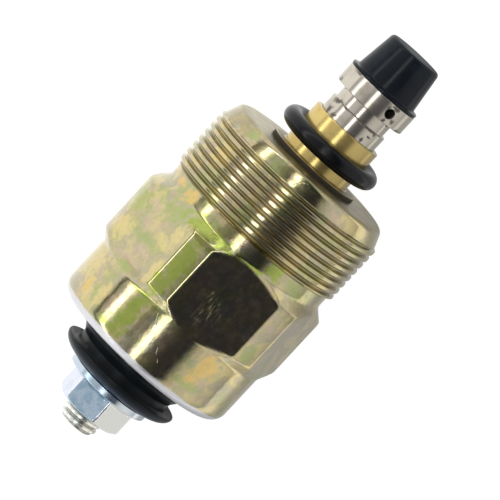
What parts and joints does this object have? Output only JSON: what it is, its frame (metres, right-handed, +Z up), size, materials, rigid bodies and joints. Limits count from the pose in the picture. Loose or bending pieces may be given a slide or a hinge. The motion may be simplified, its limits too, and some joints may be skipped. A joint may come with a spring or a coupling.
{
  "type": "fuel shutoff solenoid",
  "caption": "Screw-in fuel shutoff solenoid: a sprung plunger with a rubber valve cone slides in a brass sleeve; a threaded stud feeds the coil inside the hexagonal steel body.",
  "frame": {"origin": "on the axis, at the plane of the body's front face", "axes": "+X along the axis towards the plunger, +Z up from the hexagon flat that it lies on"},
  "size_m": [0.0584, 0.0262, 0.024],
  "materials": {
    "yellow_zinc": "yellow passivated zinc, satin, mottled",
    "brass": "turned, slightly dulled",
    "rubber": "smooth, oiled",
    "valve_rubber": "smooth, faintly blue black",
    "plunger_steel": "turned, with dirt at the edges",
    "spring_steel": "drawn wire",
    "core_steel": "turned, bare",
    "copper": "enamelled copper wire",
    "moulding": "glass filled moulding",
    "tape": "winding tape",
    "board": "insulating board",
    "boot_black": "smooth black, slight blue sheen",
    "bright_zinc": "bright zinc"
  },
  "bodies": {
    "housing": {"body": "yellow_zinc", "guide_sleeve": "brass", "sleeve_o_ring": "rubber", "return_spring": "spring_steel", "residual_shim": "brass", "fixed_core": "core_steel", "core_o_ring": "rubber", "front_washer": "board", "coil_bobbin": "moulding", "coil_winding": "copper", "coil_wrap": "tape", "rear_pole_plate": "core_steel", "insulating_disc": "board", "coil_lead": "copper", "ground_lead": "copper", "terminal_insulator": "moulding", "insulator_seal": "rubber", "end_cover": "core_steel", "terminal_boot": "boot_black", "terminal_stud": "bright_zinc", "flange_nut": "bright_zinc"},
    "armature": {"plunger": "plunger_steel", "valve_cone": "valve_rubber"}
  },
  "joints": [
    {"name": "plunger_slide", "type": "slide", "parent": "housing", "child": "armature", "axis": [-1, 0, 0], "range_m": [0, 0.002], "stiffness_N_per_m": 1000, "deforming": ["return_spring"]}
  ]
}
